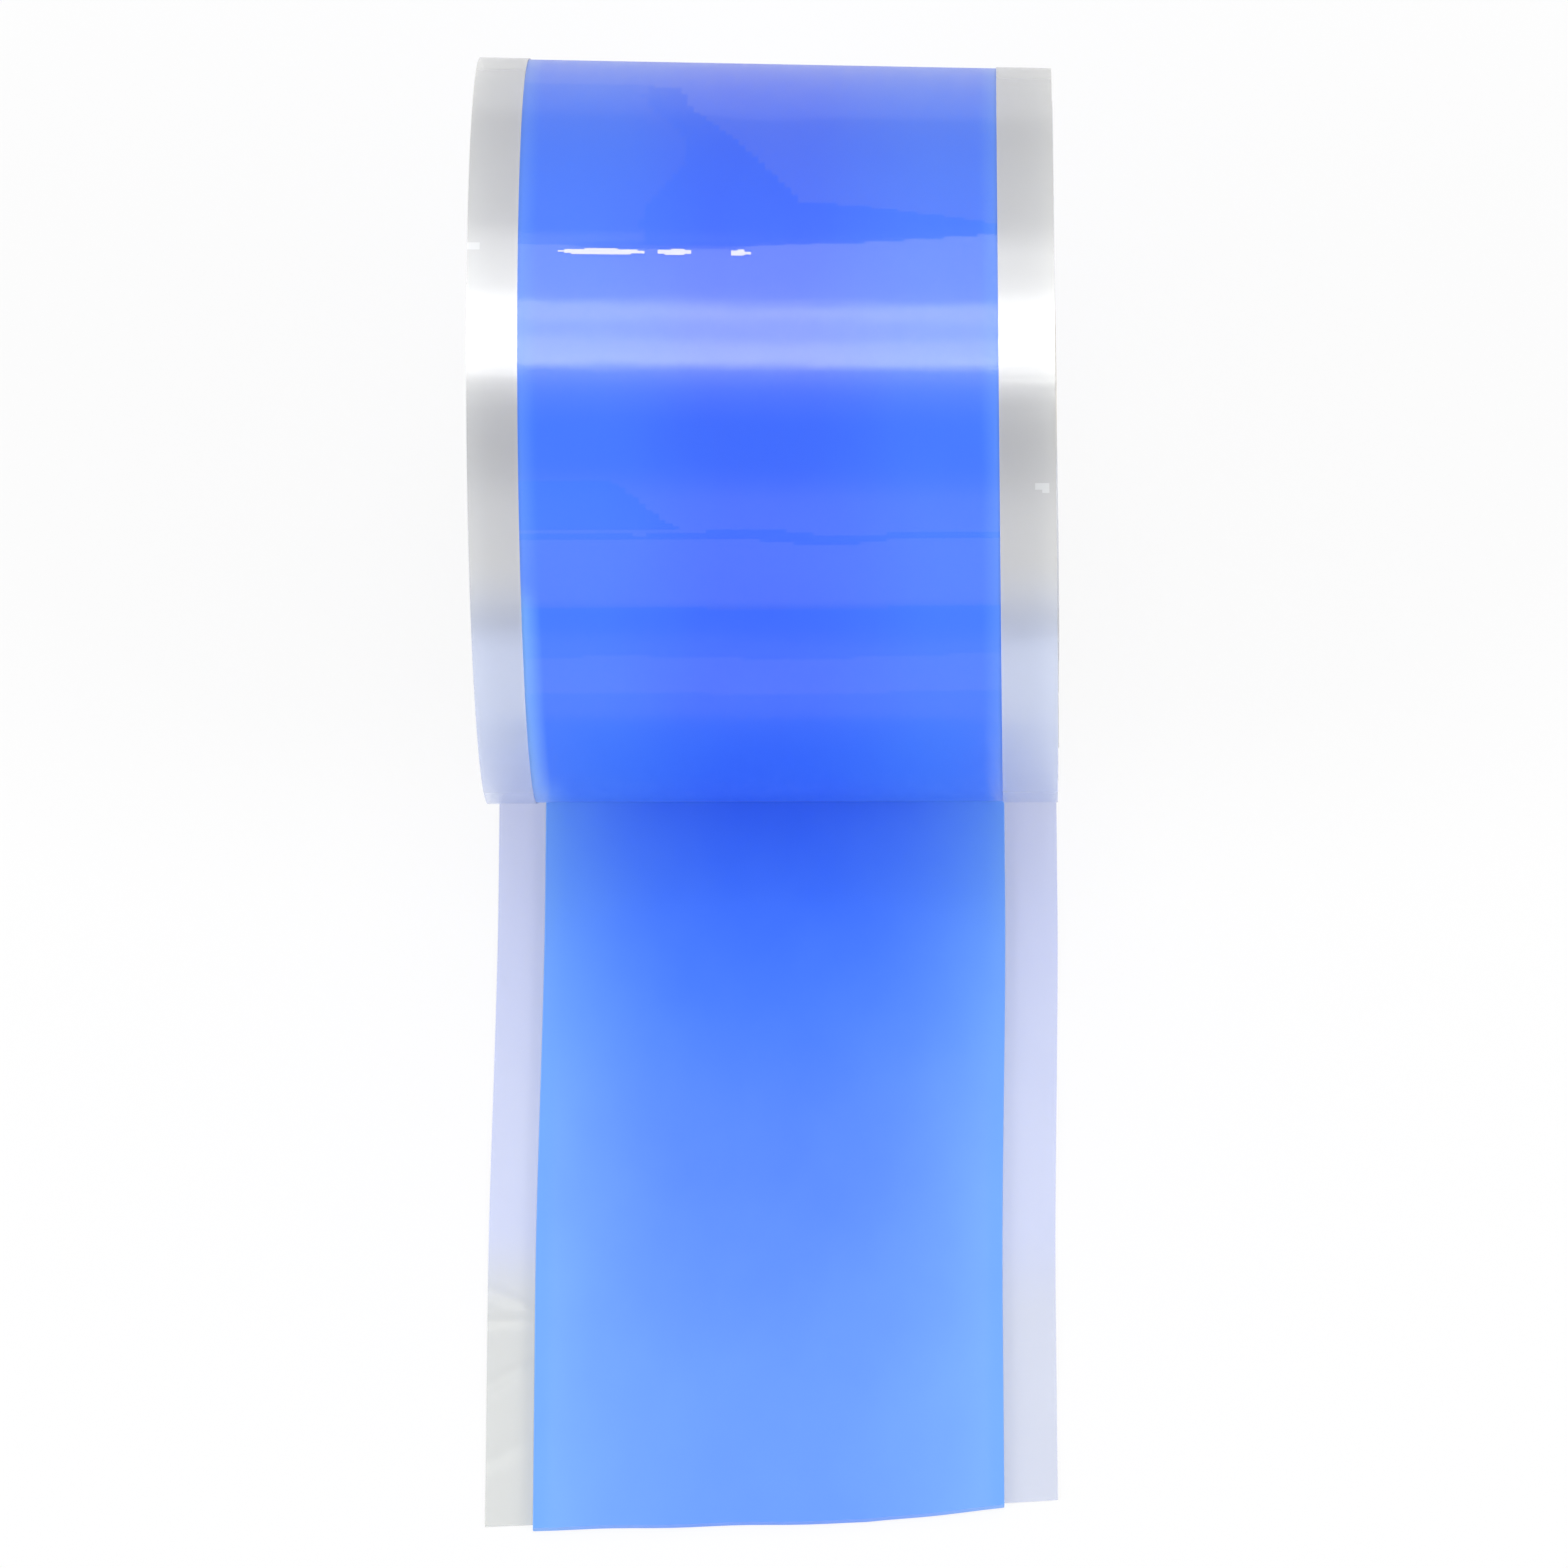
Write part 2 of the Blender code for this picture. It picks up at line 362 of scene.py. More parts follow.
def tape_section(columns):
    """The tape's outline across the strip, with rounded edges."""
    top, bottom = TAPE_DEPTHS
    near = ROUND_SHARE * TAPE_ROUND
    flat = spread(TAPE_LOW.x + TAPE_ROUND, TAPE_HIGH.x - TAPE_ROUND, columns)
    outer = [(TAPE_LOW.x, top + TAPE_ROUND), (TAPE_LOW.x + near, top + near)]
    outer += [(x, top) for x in flat]
    outer += [(TAPE_HIGH.x - near, top + near), (TAPE_HIGH.x, top + TAPE_ROUND)]
    return outer + [(x, top + bottom - depth) for x, depth in reversed(outer)]


# Finishes of a film piece, in the order of its material slots
LOOSE, MARGIN, SHINE_HALF_DIMMED, SHINE_DIMMED, PAINTED_GLINT = range(5)

# Where the outer film's shine is dimmed, as turn angles and mm across: the film reflects the lights, and
# these bands, a wedge, a patch and a line are a painted reflection pattern, laid out to copy the room's
# reflections
DIMMED_BANDS = ((232.5, 241.3), (248.5, 300.0))
HALF_DIMMED_BAND = (241.3, 248.5)
HALF_DIMMED_SIDE = -5.0
HALF_DIMMED_SIDE_WAVE = 1.2
HALF_DIMMED_SIDE_RATE = 0.21
DIMMED_LINE = 220.9
DIMMED_LINE_WIDTH = 0.7
DIMMED_LINE_SHARES = (0.7, 0.7)
DIMMED_LINE_SWELL = (1, 3)
DIMMED_LINE_WAVE = 0.7
DIMMED_LINE_RATE = 0.55
DIMMED_LINE_START = 0.6
DIMMED_LINE_HILL = (3, 7)
DIMMED_PATCH = (212.0, 219.8, -3.6)
DIMMED_PATCH_TAPER = 5
DIMMED_BACK_FROM = 120
DIMMED_BACK_SHARE = 0.35
DIMMED_BACK_RATE = 0.16
DIMMED_BACK_SWAY = 0.8
DIMMED_BACK_SWAY_RATE = 0.21
BAND_WAVE = 0.35
BAND_RATE = 0.33
BAND_START = 1.0
WEDGE_FRONT = ((-13.0, 176.0), (-0.7, 176.0), (4.6, 175.2), (9.0, 174.1), (12.5, 173.2))
WEDGE_BACK = (
    (-13.0, 137.5), (-4.3, 139.0), (-3.7, 146.4), (-1.6, 153.4), (2.1, 167.2), (4.9, 168.0), (12.5, 171.8)
)

# Painted glints, a whiter and more opaque finish: dashes along one line of a sharp fold, from and to in mm
# across, and single spots
DASHES = ((-10.4, -6.0), (-5.3, -3.5), (-1.6, -0.6))
DASH_ANGLE = 177.15
DASH_WIDTH = 1.0
GLINTS = ((176.4, -14.8), (213.4, 14.5))
GLINT_SIZE = (0.7, 0.4)


def on_line(points, across):
    """Height of a broken line of (across, angle) points at a place across the strip."""
    for (left, low), (right, high) in zip(points, points[1:]):
        if across <= right:
            return low + (high - low) * (across - left) / (right - left)
    return points[-1][1]


def band_wander(across):
    """How far the edges of the dimmed bands wander along the strip."""
    return BAND_WAVE * math.sin(across * BAND_RATE + BAND_START)


def hill(across, middle, width):
    return math.exp(-((across - middle) / width) ** 2)


def shine_dimmed(angle, across):
    """True where the film's shine is dimmed: bands, a wedge, a patch and a line that paint the room's
    reflections, and waves on the back.
    """
    if angle > DIMMED_BANDS[-1][1] or angle < DIMMED_BACK_FROM:
        sway = DIMMED_BACK_SWAY * math.sin(across * DIMMED_BACK_SWAY_RATE)
        return math.sin(angle * DIMMED_BACK_RATE + sway) > DIMMED_BACK_SHARE
    wander = band_wander(across)
    in_wedge = on_line(WEDGE_BACK, across) + wander < angle < on_line(WEDGE_FRONT, across)
    if in_wedge and not shine_half_dimmed(angle, across):
        return True
    low, high, side = DIMMED_PATCH
    taper = smooth(side, side - DIMMED_PATCH_TAPER, across)
    if high - (high - low) * taper < angle < high and across < side:
        return True
    wave = DIMMED_LINE_WAVE * math.sin(across * DIMMED_LINE_RATE - DIMMED_LINE_START)
    line = DIMMED_LINE + wave * hill(across, *DIMMED_LINE_HILL)
    thin, swell = DIMMED_LINE_SHARES
    if abs(angle - line) < DIMMED_LINE_WIDTH * (thin + swell * hill(across, *DIMMED_LINE_SWELL)):
        return True
    return any(low + wander < angle < high + wander for low, high in DIMMED_BANDS)


def shine_half_dimmed(angle, across):
    """True where the film's shine is half dimmed, as part of the painted reflection pattern: a band on the
    front, the back's left side.
    """
    wander = band_wander(across)
    if HALF_DIMMED_BAND[0] + wander < angle < HALF_DIMMED_BAND[1] + wander:
        return True
    side = HALF_DIMMED_SIDE + HALF_DIMMED_SIDE_WAVE * math.sin(angle * HALF_DIMMED_SIDE_RATE)
    return WEDGE_BACK[0][1] < angle < WEDGE_FRONT[0][1] and across < side


def painted_glint_at(angle, across):
    """True on the painted glints: dashes along a sharp fold, which taper towards their ends, and single
    spots.
    """
    for low, high in DASHES:
        if low < across < high:
            taper = math.sqrt(math.sin(math.pi * (across - low) / (high - low)))
            return abs(angle - DASH_ANGLE) < DASH_WIDTH / 2 * taper
    along_size, across_size = GLINT_SIZE
    return any(
        ((angle - spot) / along_size) ** 2 + ((across - side) / across_size) ** 2 < 1 for spot, side in GLINTS
    )


def only_finish(row, x):
    return 0


def film_finish(row, x):
    """Finish of a plain stretch of film: loose over the tape, or a bare margin."""
    return LOOSE if MARGIN_START[0] < x < MARGIN_START[1] else MARGIN


def outer_film_finish(row, x):
    """Finish of the outer turn's film, with its painted glints and its patches of dimmed and half dimmed
    shine, a painted reflection pattern.
    """
    across = x / MM
    if painted_glint_at(row.angle, across):
        return PAINTED_GLINT
    if not MARGIN_START[0] < x < MARGIN_START[1]:
        return MARGIN
    if shine_dimmed(row.angle, across):
        return SHINE_DIMMED
    return SHINE_HALF_DIMMED if shine_half_dimmed(row.angle, across) else LOOSE


def sweep(
    name, rows, section, finishes, finish_of, lift=no_lift, cut=film_cut, tone=None, capped=(False, False)
):
    """A piece with one outline through all rows, closed at its first and last row where capped says so.

    Each point keeps its place on the strip and its tone.
    """
    points = []
    strip_places = []
    tones = []
    for row in rows:
        for x, depth in section:
            points.append(place(row, x, depth, lift, cut))
            strip_places.append((x / MM, row.length / MM, 0.0))
            tones.append(tone(row, x) if tone else 0.0)

    count = len(section)
    faces = []
    finish_indices = []
    for ring in range(len(rows) - 1):
        for side in range(count):
            after = (side + 1) % count
            first = ring * count + side
            second = ring * count + after
            faces.append((first, second, second + count, first + count))
            finish_indices.append(finish_of(rows[ring], (section[side][0] + section[after][0]) / 2))
    for wanted, first in zip(capped, (0, len(points) - count)):
        if not wanted:
            continue
        for side in range(count // 2 - 1):
            under = count - 1 - side
            corners = (first + side, first + under, first + under - 1, first + side + 1)
            faces.append(corners if first == 0 else corners[::-1])
            finish_indices.append(finish_of(rows[0], (section[side][0] + section[side + 1][0]) / 2))

    mesh = bpy.data.meshes.new(name)
    mesh.from_pydata(points, [], faces)
    if mesh.polygons[0].normal.dot(Vector((0, *rows[0].outward))) < 0:
        mesh.flip_normals()
    for finish in finishes:
        mesh.materials.append(finish)
    mesh.polygons.foreach_set("material_index", finish_indices)
    kept = mesh.attributes.new("strip_place", "FLOAT_VECTOR", "POINT")
    kept.data.foreach_set("vector", [number for spot in strip_places for number in spot])
    kept = mesh.attributes.new("tone", "FLOAT", "POINT")
    kept.data.foreach_set("value", tones)
    mesh.shade_smooth()
    mesh.set_sharp_from_angle(angle=STRIP_SHARP_ANGLE)
    piece = bpy.data.objects.new(name, mesh)
    bpy.context.scene.collection.objects.link(piece)
    return piece


# Materials

def new_material(name, colour, roughness, metallic=0.0, alpha=1.0):
    made = bpy.data.materials.new(name)
    made.use_nodes = True
    shader = made.node_tree.nodes["Principled BSDF"]
    shader.inputs["Base Color"].default_value = (*colour, 1.0)
    shader.inputs["Roughness"].default_value = roughness
    shader.inputs["Metallic"].default_value = metallic
    shader.inputs["Alpha"].default_value = alpha
    return made, made.node_tree, shader


def add_node(tree, kind, values=None, **settings):
    node = tree.nodes.new(kind)
    for name, value in settings.items():
        setattr(node, name, value)
    for socket, value in (values or {}).items():
        node.inputs[socket].default_value = value
    return node


def strip_noise(tree, stretch, detail=3.0):
    """Noise over the strip: stretch is its scale across and along the strip, per mm."""
    spot = add_node(tree, "ShaderNodeAttribute", attribute_name="strip_place")
    scaled = add_node(tree, "ShaderNodeVectorMath", {1: (*stretch, 1.0)}, operation="MULTIPLY")
    noise = add_node(tree, "ShaderNodeTexNoise", {"Scale": 1.0, "Detail": detail})
    tree.links.new(spot.outputs["Vector"], scaled.inputs[0])
    tree.links.new(scaled.outputs["Vector"], noise.inputs["Vector"])
    return noise.outputs["Fac"]


def to_range(tree, source, low, high):
    node = add_node(tree, "ShaderNodeMapRange", {"To Min": low, "To Max": high})
    tree.links.new(source, node.inputs["Value"])
    return node.outputs["Result"]


def add_bump(tree, shader, height, strength, distance):
    bump = add_node(tree, "ShaderNodeBump", {"Strength": strength, "Distance": distance})
    tree.links.new(height, bump.inputs["Height"])
    tree.links.new(bump.outputs["Normal"], shader.inputs["Normal"])


def mix_colours(tree, share, first, second):
    node = add_node(tree, "ShaderNodeMix", {6: (*first, 1.0), 7: (*second, 1.0)}, data_type="RGBA")
    tree.links.new(share, node.inputs[0])
    return node.outputs[2]


# Scales of the noise over the strip, across and along it per mm, and what the noise does
CLOUD_SCALE = (0.25, 0.18)
CLOUD_TONES = (-0.03, 0.05)
TAPE_SHINE_SCALE = (1.2, 0.5)
TAPE_ROUGHNESS = (0.36, 0.50)
TAPE_GRAIN_SCALE = (5.0, 2.5)
TAPE_GRAIN_DEPTH = 0.02 * MM
FILM_SHINE_SCALE = (0.35, 0.9)
FILM_WAVE_SCALE = (0.10, 1.1)
FILM_WAVE_DEPTH = 0.05 * MM
TACK_SHINE_SCALE = (2.0, 2.0)
TACK_ROUGHNESS = (0.45, 0.65)
PAPER_FIBRE_DEPTH = 0.1 * MM
PAPER_COLOURS = ((0.50, 0.45, 0.37), (0.72, 0.68, 0.60))

# Colours of the tape against its tone
TAPE_COLOURS = ((0.0, (0.030, 0.128, 0.98)), (0.25, (0.048, 0.195, 1.0)), (1.0, (0.26, 0.58, 1.0)))


def colour_ramp(tree, share, colours):
    ramp = add_node(tree, "ShaderNodeValToRGB")
    stops = ramp.color_ramp.elements
    while len(stops) < len(colours):
        stops.new(0.5)
    for stop, (position, colour) in zip(stops, colours):
        stop.position = position
        stop.color = (*colour, 1.0)
    tree.links.new(share, ramp.inputs["Fac"])
    return ramp.outputs["Color"]


def tape_material():
    """Soft rubber: deep where many layers lie on each other, paler where a single one lies on the table.

    On the tail its tone also holds painted shade: darker near the roll, where the roll's shadow falls.
    """
    made, tree, shader = new_material("blue_grip_rubber", TAPE_COLOURS[0][1], 0.42)
    shader.inputs["Specular IOR Level"].default_value = 0.25
    shader.inputs["Coat Weight"].default_value = 0.4
    shader.inputs["Coat Roughness"].default_value = 0.25
    tone = add_node(tree, "ShaderNodeAttribute", attribute_name="tone")
    cloud = to_range(tree, strip_noise(tree, CLOUD_SCALE), *CLOUD_TONES)
    share = add_node(tree, "ShaderNodeMath", operation="ADD", use_clamp=True)
    tree.links.new(tone.outputs["Fac"], share.inputs[0])
    tree.links.new(cloud, share.inputs[1])
    tree.links.new(colour_ramp(tree, share.outputs["Value"], TAPE_COLOURS), shader.inputs["Base Color"])
    shine = to_range(tree, strip_noise(tree, TAPE_SHINE_SCALE), *TAPE_ROUGHNESS)
    tree.links.new(shine, shader.inputs["Roughness"])
    grain = strip_noise(tree, TAPE_GRAIN_SCALE, detail=5.0)
    add_bump(tree, shader, grain, strength=0.10, distance=TAPE_GRAIN_DEPTH)
    return made


def film_material(name, colour, metallic, alpha, roughness, waviness=0.25, tint=None):
    """Clear film: a thin share of mirror and haze, wavy along the strip. Its tint follows its tone."""
    made, tree, shader = new_material(name, colour, roughness[0], metallic, alpha)
    if tint:
        tone = add_node(tree, "ShaderNodeAttribute", attribute_name="tone")
        tree.links.new(mix_colours(tree, tone.outputs["Fac"], colour, tint), shader.inputs["Base Color"])
    shine = to_range(tree, strip_noise(tree, FILM_SHINE_SCALE), *roughness)
    tree.links.new(shine, shader.inputs["Roughness"])
    waves = strip_noise(tree, FILM_WAVE_SCALE, detail=2.0)
    add_bump(tree, shader, waves, strength=waviness, distance=FILM_WAVE_DEPTH)
    return made


def paper_material():
    made, tree, shader = new_material("grey_paperboard", (0.62, 0.57, 0.48), 0.85)
    spot = add_node(tree, "ShaderNodeTexCoord")
    fibre = add_node(tree, "ShaderNodeTexNoise", {"Scale": 900.0, "Detail": 6.0})
    tree.links.new(spot.outputs["Object"], fibre.inputs["Vector"])
    colour = mix_colours(tree, fibre.outputs["Fac"], *PAPER_COLOURS)
    tree.links.new(colour, shader.inputs["Base Color"])
    add_bump(tree, shader, fibre.outputs["Fac"], strength=0.3, distance=PAPER_FIBRE_DEPTH)
    return made


def tack_material():
    made, tree, shader = new_material("tack_paper", (0.80, 0.76, 0.62), 0.55)
    shine = to_range(tree, strip_noise(tree, TACK_SHINE_SCALE), *TACK_ROUGHNESS)
    tree.links.new(shine, shader.inputs["Roughness"])
    return made


CLEAR = (1.0, 1.0, 1.0)
TAPE = tape_material()
# The film's shine: full where loose, half dimmed and dimmed in zones that form a painted reflection pattern
FILM_LOOSE = film_material("clear_film", CLEAR, metallic=1.0, alpha=0.03, roughness=(0.06, 0.12))
FILM_SHINE_HALF_DIMMED = film_material("clear_film_half_dimmed_painted_reflection", CLEAR, metallic=1.0, alpha=0.016, roughness=(0.08, 0.14))
FILM_SHINE_DIMMED = film_material("clear_film_dimmed_painted_reflection", CLEAR, metallic=1.0, alpha=0.006, roughness=(0.08, 0.14))
# Painted glint: white film far more opaque than the rest, so it shows bright from any side
FILM_PAINTED_GLINT = film_material("clear_film_painted_glint", CLEAR, metallic=0.3, alpha=0.55, roughness=(0.15, 0.25))
# Its blue tint, set by tone at the roll's front and foot, is painted blue light
FILM_MARGIN = film_material(
    "clear_film_margin", (0.85, 0.85, 0.84), metallic=0.4, alpha=0.60, roughness=(0.20, 0.28),
    tint=(0.78, 0.84, 1.0),
)
FILM_DEEP = film_material(
    "clear_film_between_turns", (0.92, 0.94, 0.98), metallic=0.0, alpha=0.45, roughness=(0.12, 0.20),
    tint=(0.25, 0.42, 1.0),
)
# Grey, partly painted shade of the film on the table, with a blue tint that is painted blue light
FILM_TAIL = film_material(
    "clear_film_on_table", (0.67, 0.69, 0.665), metallic=0.0, alpha=0.45, roughness=(0.12, 0.22),
    waviness=0.15, tint=(0.60, 0.67, 0.94),
)
FILM_BARE = film_material("clear_film_under_tip", CLEAR, metallic=0.7, alpha=0.14, roughness=(0.10, 0.18))
PAPER = paper_material()
TACK = tack_material()

# Materials of each film piece, in the order of the finishes
OUTER_FILM = [FILM_LOOSE, FILM_MARGIN, FILM_SHINE_HALF_DIMMED, FILM_SHINE_DIMMED, FILM_PAINTED_GLINT]
INNER_FILM = [FILM_LOOSE, FILM_DEEP]
TAIL_FILM = [FILM_LOOSE, FILM_TAIL]
END_FILM = [FILM_BARE, FILM_TAIL]


# Tones: how pale the tape is, with painted shade on the tail, and how blue the film's bare margins are,
# partly a painted cast of blue light

BASE_MIDDLE = 4 * MM
FULL_TONE_ANGLE = 110
ROLL_TONE = 0.02
ROLL_SIDE_TONE = 0.19
ROLL_SIDE_ZONE = (0.12, 0.75)
ROLL_EDGE_TONE = 0.20
ROLL_EDGE_ZONE = (0.90, 1.0)
PALE_EDGE_TONE = 0.30
PALE_EDGE_WIDTH = 1.3 * MM
PALE_EDGE_SOFT_SHARE = 0.7
PALE_EDGE_SOFT = 0.05 * MM
PALE_EDGE_START = (222, 285)
PALE_EDGE_STOP = (300, 330)
# Painted shade: the tail's middle is darker near the roll, where its shadow falls, and paler over the end
# zone
TAIL_SHADED_TONE = 0.33
TAIL_END_PAINTED_LIGHT = 0.13
TAIL_PAINTED_LIGHT_ZONE = (33, 50)
# Paler edges: partly painted light where the roll's shadow is weaker, partly the single layer's own paleness
TAIL_EDGE_TONE = 0.69
TAIL_EDGE_POWER = 2.4
FRONT_BLUE_START = (224, 240)
FRONT_BLUE_STOP = (310, 340)
FOOT_BLUE_ANGLE = 50
TAIL_FADE_ZONE = (37, 43)
LEFT_FADE = 1.0
RIGHT_FADE = 0.35


def edge_share(x):
    """0 in the middle of the tape, 1 at its edges."""
    return abs(x - (TAPE_LOW.x + TAPE_HIGH.x) / 2) / (TAPE_HIGH.x - TAPE_LOW.x) * 2


def roll_tone(row, x):
    """Paler along the edges and towards the tail, with a pale edge low on the left of the front."""
    share = edge_share(x)
    tone = ROLL_TONE + ROLL_SIDE_TONE * smooth(*ROLL_SIDE_ZONE, share)
    tone += ROLL_EDGE_TONE * smooth(*ROLL_EDGE_ZONE, share)
    # Near the table the tone blends into the tail's, painted shade included
    if row.angle < FULL_TONE_ANGLE:
        foot = tail_tone_with_painted_shade(tail_row(BASE_MIDDLE), x)
        return foot + (tone - foot) * smooth(0, FULL_TONE_ANGLE, row.angle)
    reach = PALE_EDGE_WIDTH * smooth(*PALE_EDGE_START, row.angle)
    reach *= 1 - smooth(*PALE_EDGE_STOP, row.angle)
    if reach > 0 and x < 0:
        inside = smooth(reach * PALE_EDGE_SOFT_SHARE, reach + PALE_EDGE_SOFT, x - TAPE_LOW.x)
        tone += PALE_EDGE_TONE * (1 - inside)
    return tone


def tail_tone_with_painted_shade(row, x):
    """Paler away from the roll and towards the strip's edges: painted shade of the roll's shadow, darkest in
    the middle near the roll.
    """
    distance = -row.length / MM
    middle = TAIL_SHADED_TONE + TAIL_END_PAINTED_LIGHT * smooth(*TAIL_PAINTED_LIGHT_ZONE, distance)
    return middle + (TAIL_EDGE_TONE - middle) * edge_share(x) ** TAIL_EDGE_POWER


def margin_depth(row, x):
    """1 at the tape's edges and 0 at the film's: deep between the turns the blue shines through."""
    return 1 - max(TAPE_LOW.x - x, x - TAPE_HIGH.x, 0) / (FILM_HIGH.x - TAPE_HIGH.x)


def roll_film_painted_blue_light(row, x):
    """Painted blue light on the bare margins: blue near the table, at the front and on the last quarter turn.
    """
    front = smooth(*FRONT_BLUE_START, row.angle) * (1 - smooth(*FRONT_BLUE_STOP, row.angle))
    return max(front, 1 - smooth(FOOT_BLUE_ANGLE, FULL_TONE_ANGLE, row.angle))


def tail_film_painted_blue_light(row, x):
    """The margins lose their painted cast of blue light towards the cut end, the left one all of it."""
    distance = -row.length / MM
    return 1 - (LEFT_FADE if x < 0 else RIGHT_FADE) * smooth(*TAIL_FADE_ZONE, distance)


# Strip pieces, each from the middle of one stretch to the middle of the next


def finish_piece(piece, nodes, bodies):
    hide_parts(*nodes)
    if len(bodies) == 1:
        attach(piece, bodies[0])
    else:
        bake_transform(piece)


def add_tape(
    name, rows, nodes, bodies, columns=TAPE_COLUMNS, tone=roll_tone, capped=(False, False)
):
    piece = sweep(name, rows, tape_section(columns), [TAPE], only_finish, no_lift, tape_cut, tone, capped)
    finish_piece(piece, nodes, bodies)


def add_film(
    name, rows, nodes, bodies, columns, finishes, lift=no_lift, tone=roll_film_painted_blue_light,
    finish_of=film_finish, capped=(False, False),
):
    piece = sweep(name, rows, film_section(*columns), finishes, finish_of, lift, film_cut, tone, capped)
    finish_piece(piece, nodes, bodies)


def build_winding():
    outer_end = UNWOUND_ANGLE + TURN
    outer = winding_rows(UNWOUND_ANGLE, outer_end, TURN_STEP)
    inner = winding_rows(outer_end, LAST_ANGLE, INNER_STEP)
    add_tape("tape_outer_turn", outer, ["tape_winding"], ["roll"])
    add_tape(
        "tape_inner_turns", inner, ["tape_winding"], ["roll"], columns=INNER_COLUMNS, capped=(False, True)
    )
    add_film(
        "film_outer_turn", outer_film_rows(), ["liner_winding"], ["roll"], FILM_COLUMNS, OUTER_FILM,
        lift=film_ripple, finish_of=outer_film_finish,
    )
    add_film(
        "film_inner_turns", inner, ["liner_winding"], ["roll"], INNER_FILM_COLUMNS, INNER_FILM,
        tone=margin_depth, capped=(False, True),
    )


def build_turns():
    """The last quarter turn, which lies flat once unwound."""
    for line in range(1, UNWIND_LINES):
        rows = winding_rows(FACET_ANGLE * line, FACET_ANGLE * (line + 1), FINE_STEP)
        after = f"turn_{line + 1}" if line + 1 < UNWIND_LINES else "roll"
        bodies = [f"turn_{line}", after]
        add_tape(f"tape_bend_{line}", rows, [f"tape_turn_{line}"], bodies)
        add_film(
            f"film_bend_{line}", rows, [f"liner_turn_{line}"], bodies, BEND_COLUMNS, OUTER_FILM,
            finish_of=outer_film_finish,
        )


def build_base():
    """From the flat stretch under the roll up to the first bend of the winding."""
    rows = tail_rows(BASE_MIDDLE, 0)[:-1]
    rows += winding_rows(0, FACET_ANGLE, FINE_STEP)
    bodies = ["tail_base", "turn_1"]
    add_tape("tape_foot", rows, ["tape_base"], bodies)
    add_film("film_foot", rows, ["liner_base"], bodies, INNER_FILM_COLUMNS, TAIL_FILM)


def lift_line(line):
    return -HINGES["tail_lift" if line == 1 else f"tail_lift_{line}"].y


LIFT_LINES = 5


def build_tail():
    numbers = range(1, LIFT_LINES + 1)
    lines = [lift_line(line) for line in numbers]
    peel = -HINGES["tape_peel"].y
    middles = [BASE_MIDDLE]
    middles += [(here + there) / 2 for here, there in zip(lines, lines[1:] + [peel])]
    names = ["tail_base"] + [f"tail_{line}" for line in numbers]
    for index in range(LIFT_LINES):
        rows = tail_rows(middles[index], middles[index + 1])
        film_rows = tail_rows(middles[index], middles[index + 1], TAIL_FILM_STEP)
        suffix = names[index].replace("tail_base", "base")
        bodies = [names[index], names[index + 1]]
        add_tape(f"tape_run_{index + 1}", rows, [f"tape_{suffix}"], bodies, tone=tail_tone_with_painted_shade)
        add_film(
            f"film_run_{index + 1}", film_rows, [f"liner_{suffix}"], bodies, TAIL_COLUMNS, TAIL_FILM,
            lift=tail_curl, tone=tail_film_painted_blue_light,
        )

    rows = tail_rows(middles[-1], TAIL_LENGTH)
    add_tape(
        "tape_end", rows, ["tape_tail_5", "tape_tip"], ["tail_5", "tape_tip"],
        tone=tail_tone_with_painted_shade, capped=(False, True),
    )
    film_rows = tail_rows(middles[-1], TAIL_LENGTH, TAIL_FILM_STEP)
    add_film(
        "film_end", film_rows, ["liner_tail_5"], ["tail_5"], TAIL_COLUMNS, END_FILM,
        lift=tail_curl, tone=tail_film_painted_blue_light, capped=(False, True),
    )


# Core and tack strip

CORE_SIDES = 96
PLY_STEP = 0.10 * MM
PLY_STEPS = (0.0, 0.7, 0.2, 0.9, 0.4)
PLY_ROUND = 0.06 * MM


def core_section():
    """Wall of the paper tube as (x, radius). Its plies end at different lengths, with rounded corners."""
    inside = CORE_RADIUS - CORE_WALL
    plies = spread(inside, CORE_RADIUS, len(PLY_STEPS))
    right = []
    for step, low, high in zip(PLY_STEPS, plies, plies[1:]):
        end = CORE_HALF - PLY_STEP * step
        right += [(end - PLY_ROUND, low), (end, low + PLY_ROUND)]
        right += [(end, high - PLY_ROUND), (end - PLY_ROUND, high)]
    left = [(-x, radius) for x, radius in reversed(right)]
    return right + left


def build_core():
    section = core_section()
    points = []
    for side in range(CORE_SIDES):
        turn = 2 * math.pi * side / CORE_SIDES
        points += [(x, r * math.sin(turn), ROLL_RADIUS - r * math.cos(turn)) for x, r in section]
    count = len(section)
    total = len(points)
    faces = []
    for first in range(0, total, count):
        for side in range(count):
            after = (side + 1) % count
            there = (first + count) % total
            faces.append((first + side, there + side, there + after, first + after))
    mesh = bpy.data.meshes.new("paper_core")
    mesh.from_pydata(points, [], faces)
    mesh.materials.append(PAPER)
    mesh.shade_smooth()
    mesh.set_sharp_from_angle(angle=CORE_SHARP_ANGLE)
    core = bpy.data.objects.new("paper_core", mesh)
    bpy.context.scene.collection.objects.link(core)
    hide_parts("core_tube")
    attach(core, "roll")


def build_tack():
    rows = winding_rows(LAST_ANGLE - TACK_ANGLE, LAST_ANGLE, TURN_STEP)
    top = TAPE_DEPTHS[1] + LAYER_GAP
    bottom = top + TACK_THICK
    middle = (TAPE_LOW.x + TAPE_HIGH.x) / 2
    across = spread(middle - TACK_HALF, middle + TACK_HALF, TACK_COLUMNS)
    section = [(x, top) for x in across] + [(x, bottom) for x in reversed(across)]
    tack = sweep("tack_strip", rows, section, [TACK], only_finish, capped=(True, True))
    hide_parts("core_tack_strip")
    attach(tack, "roll")


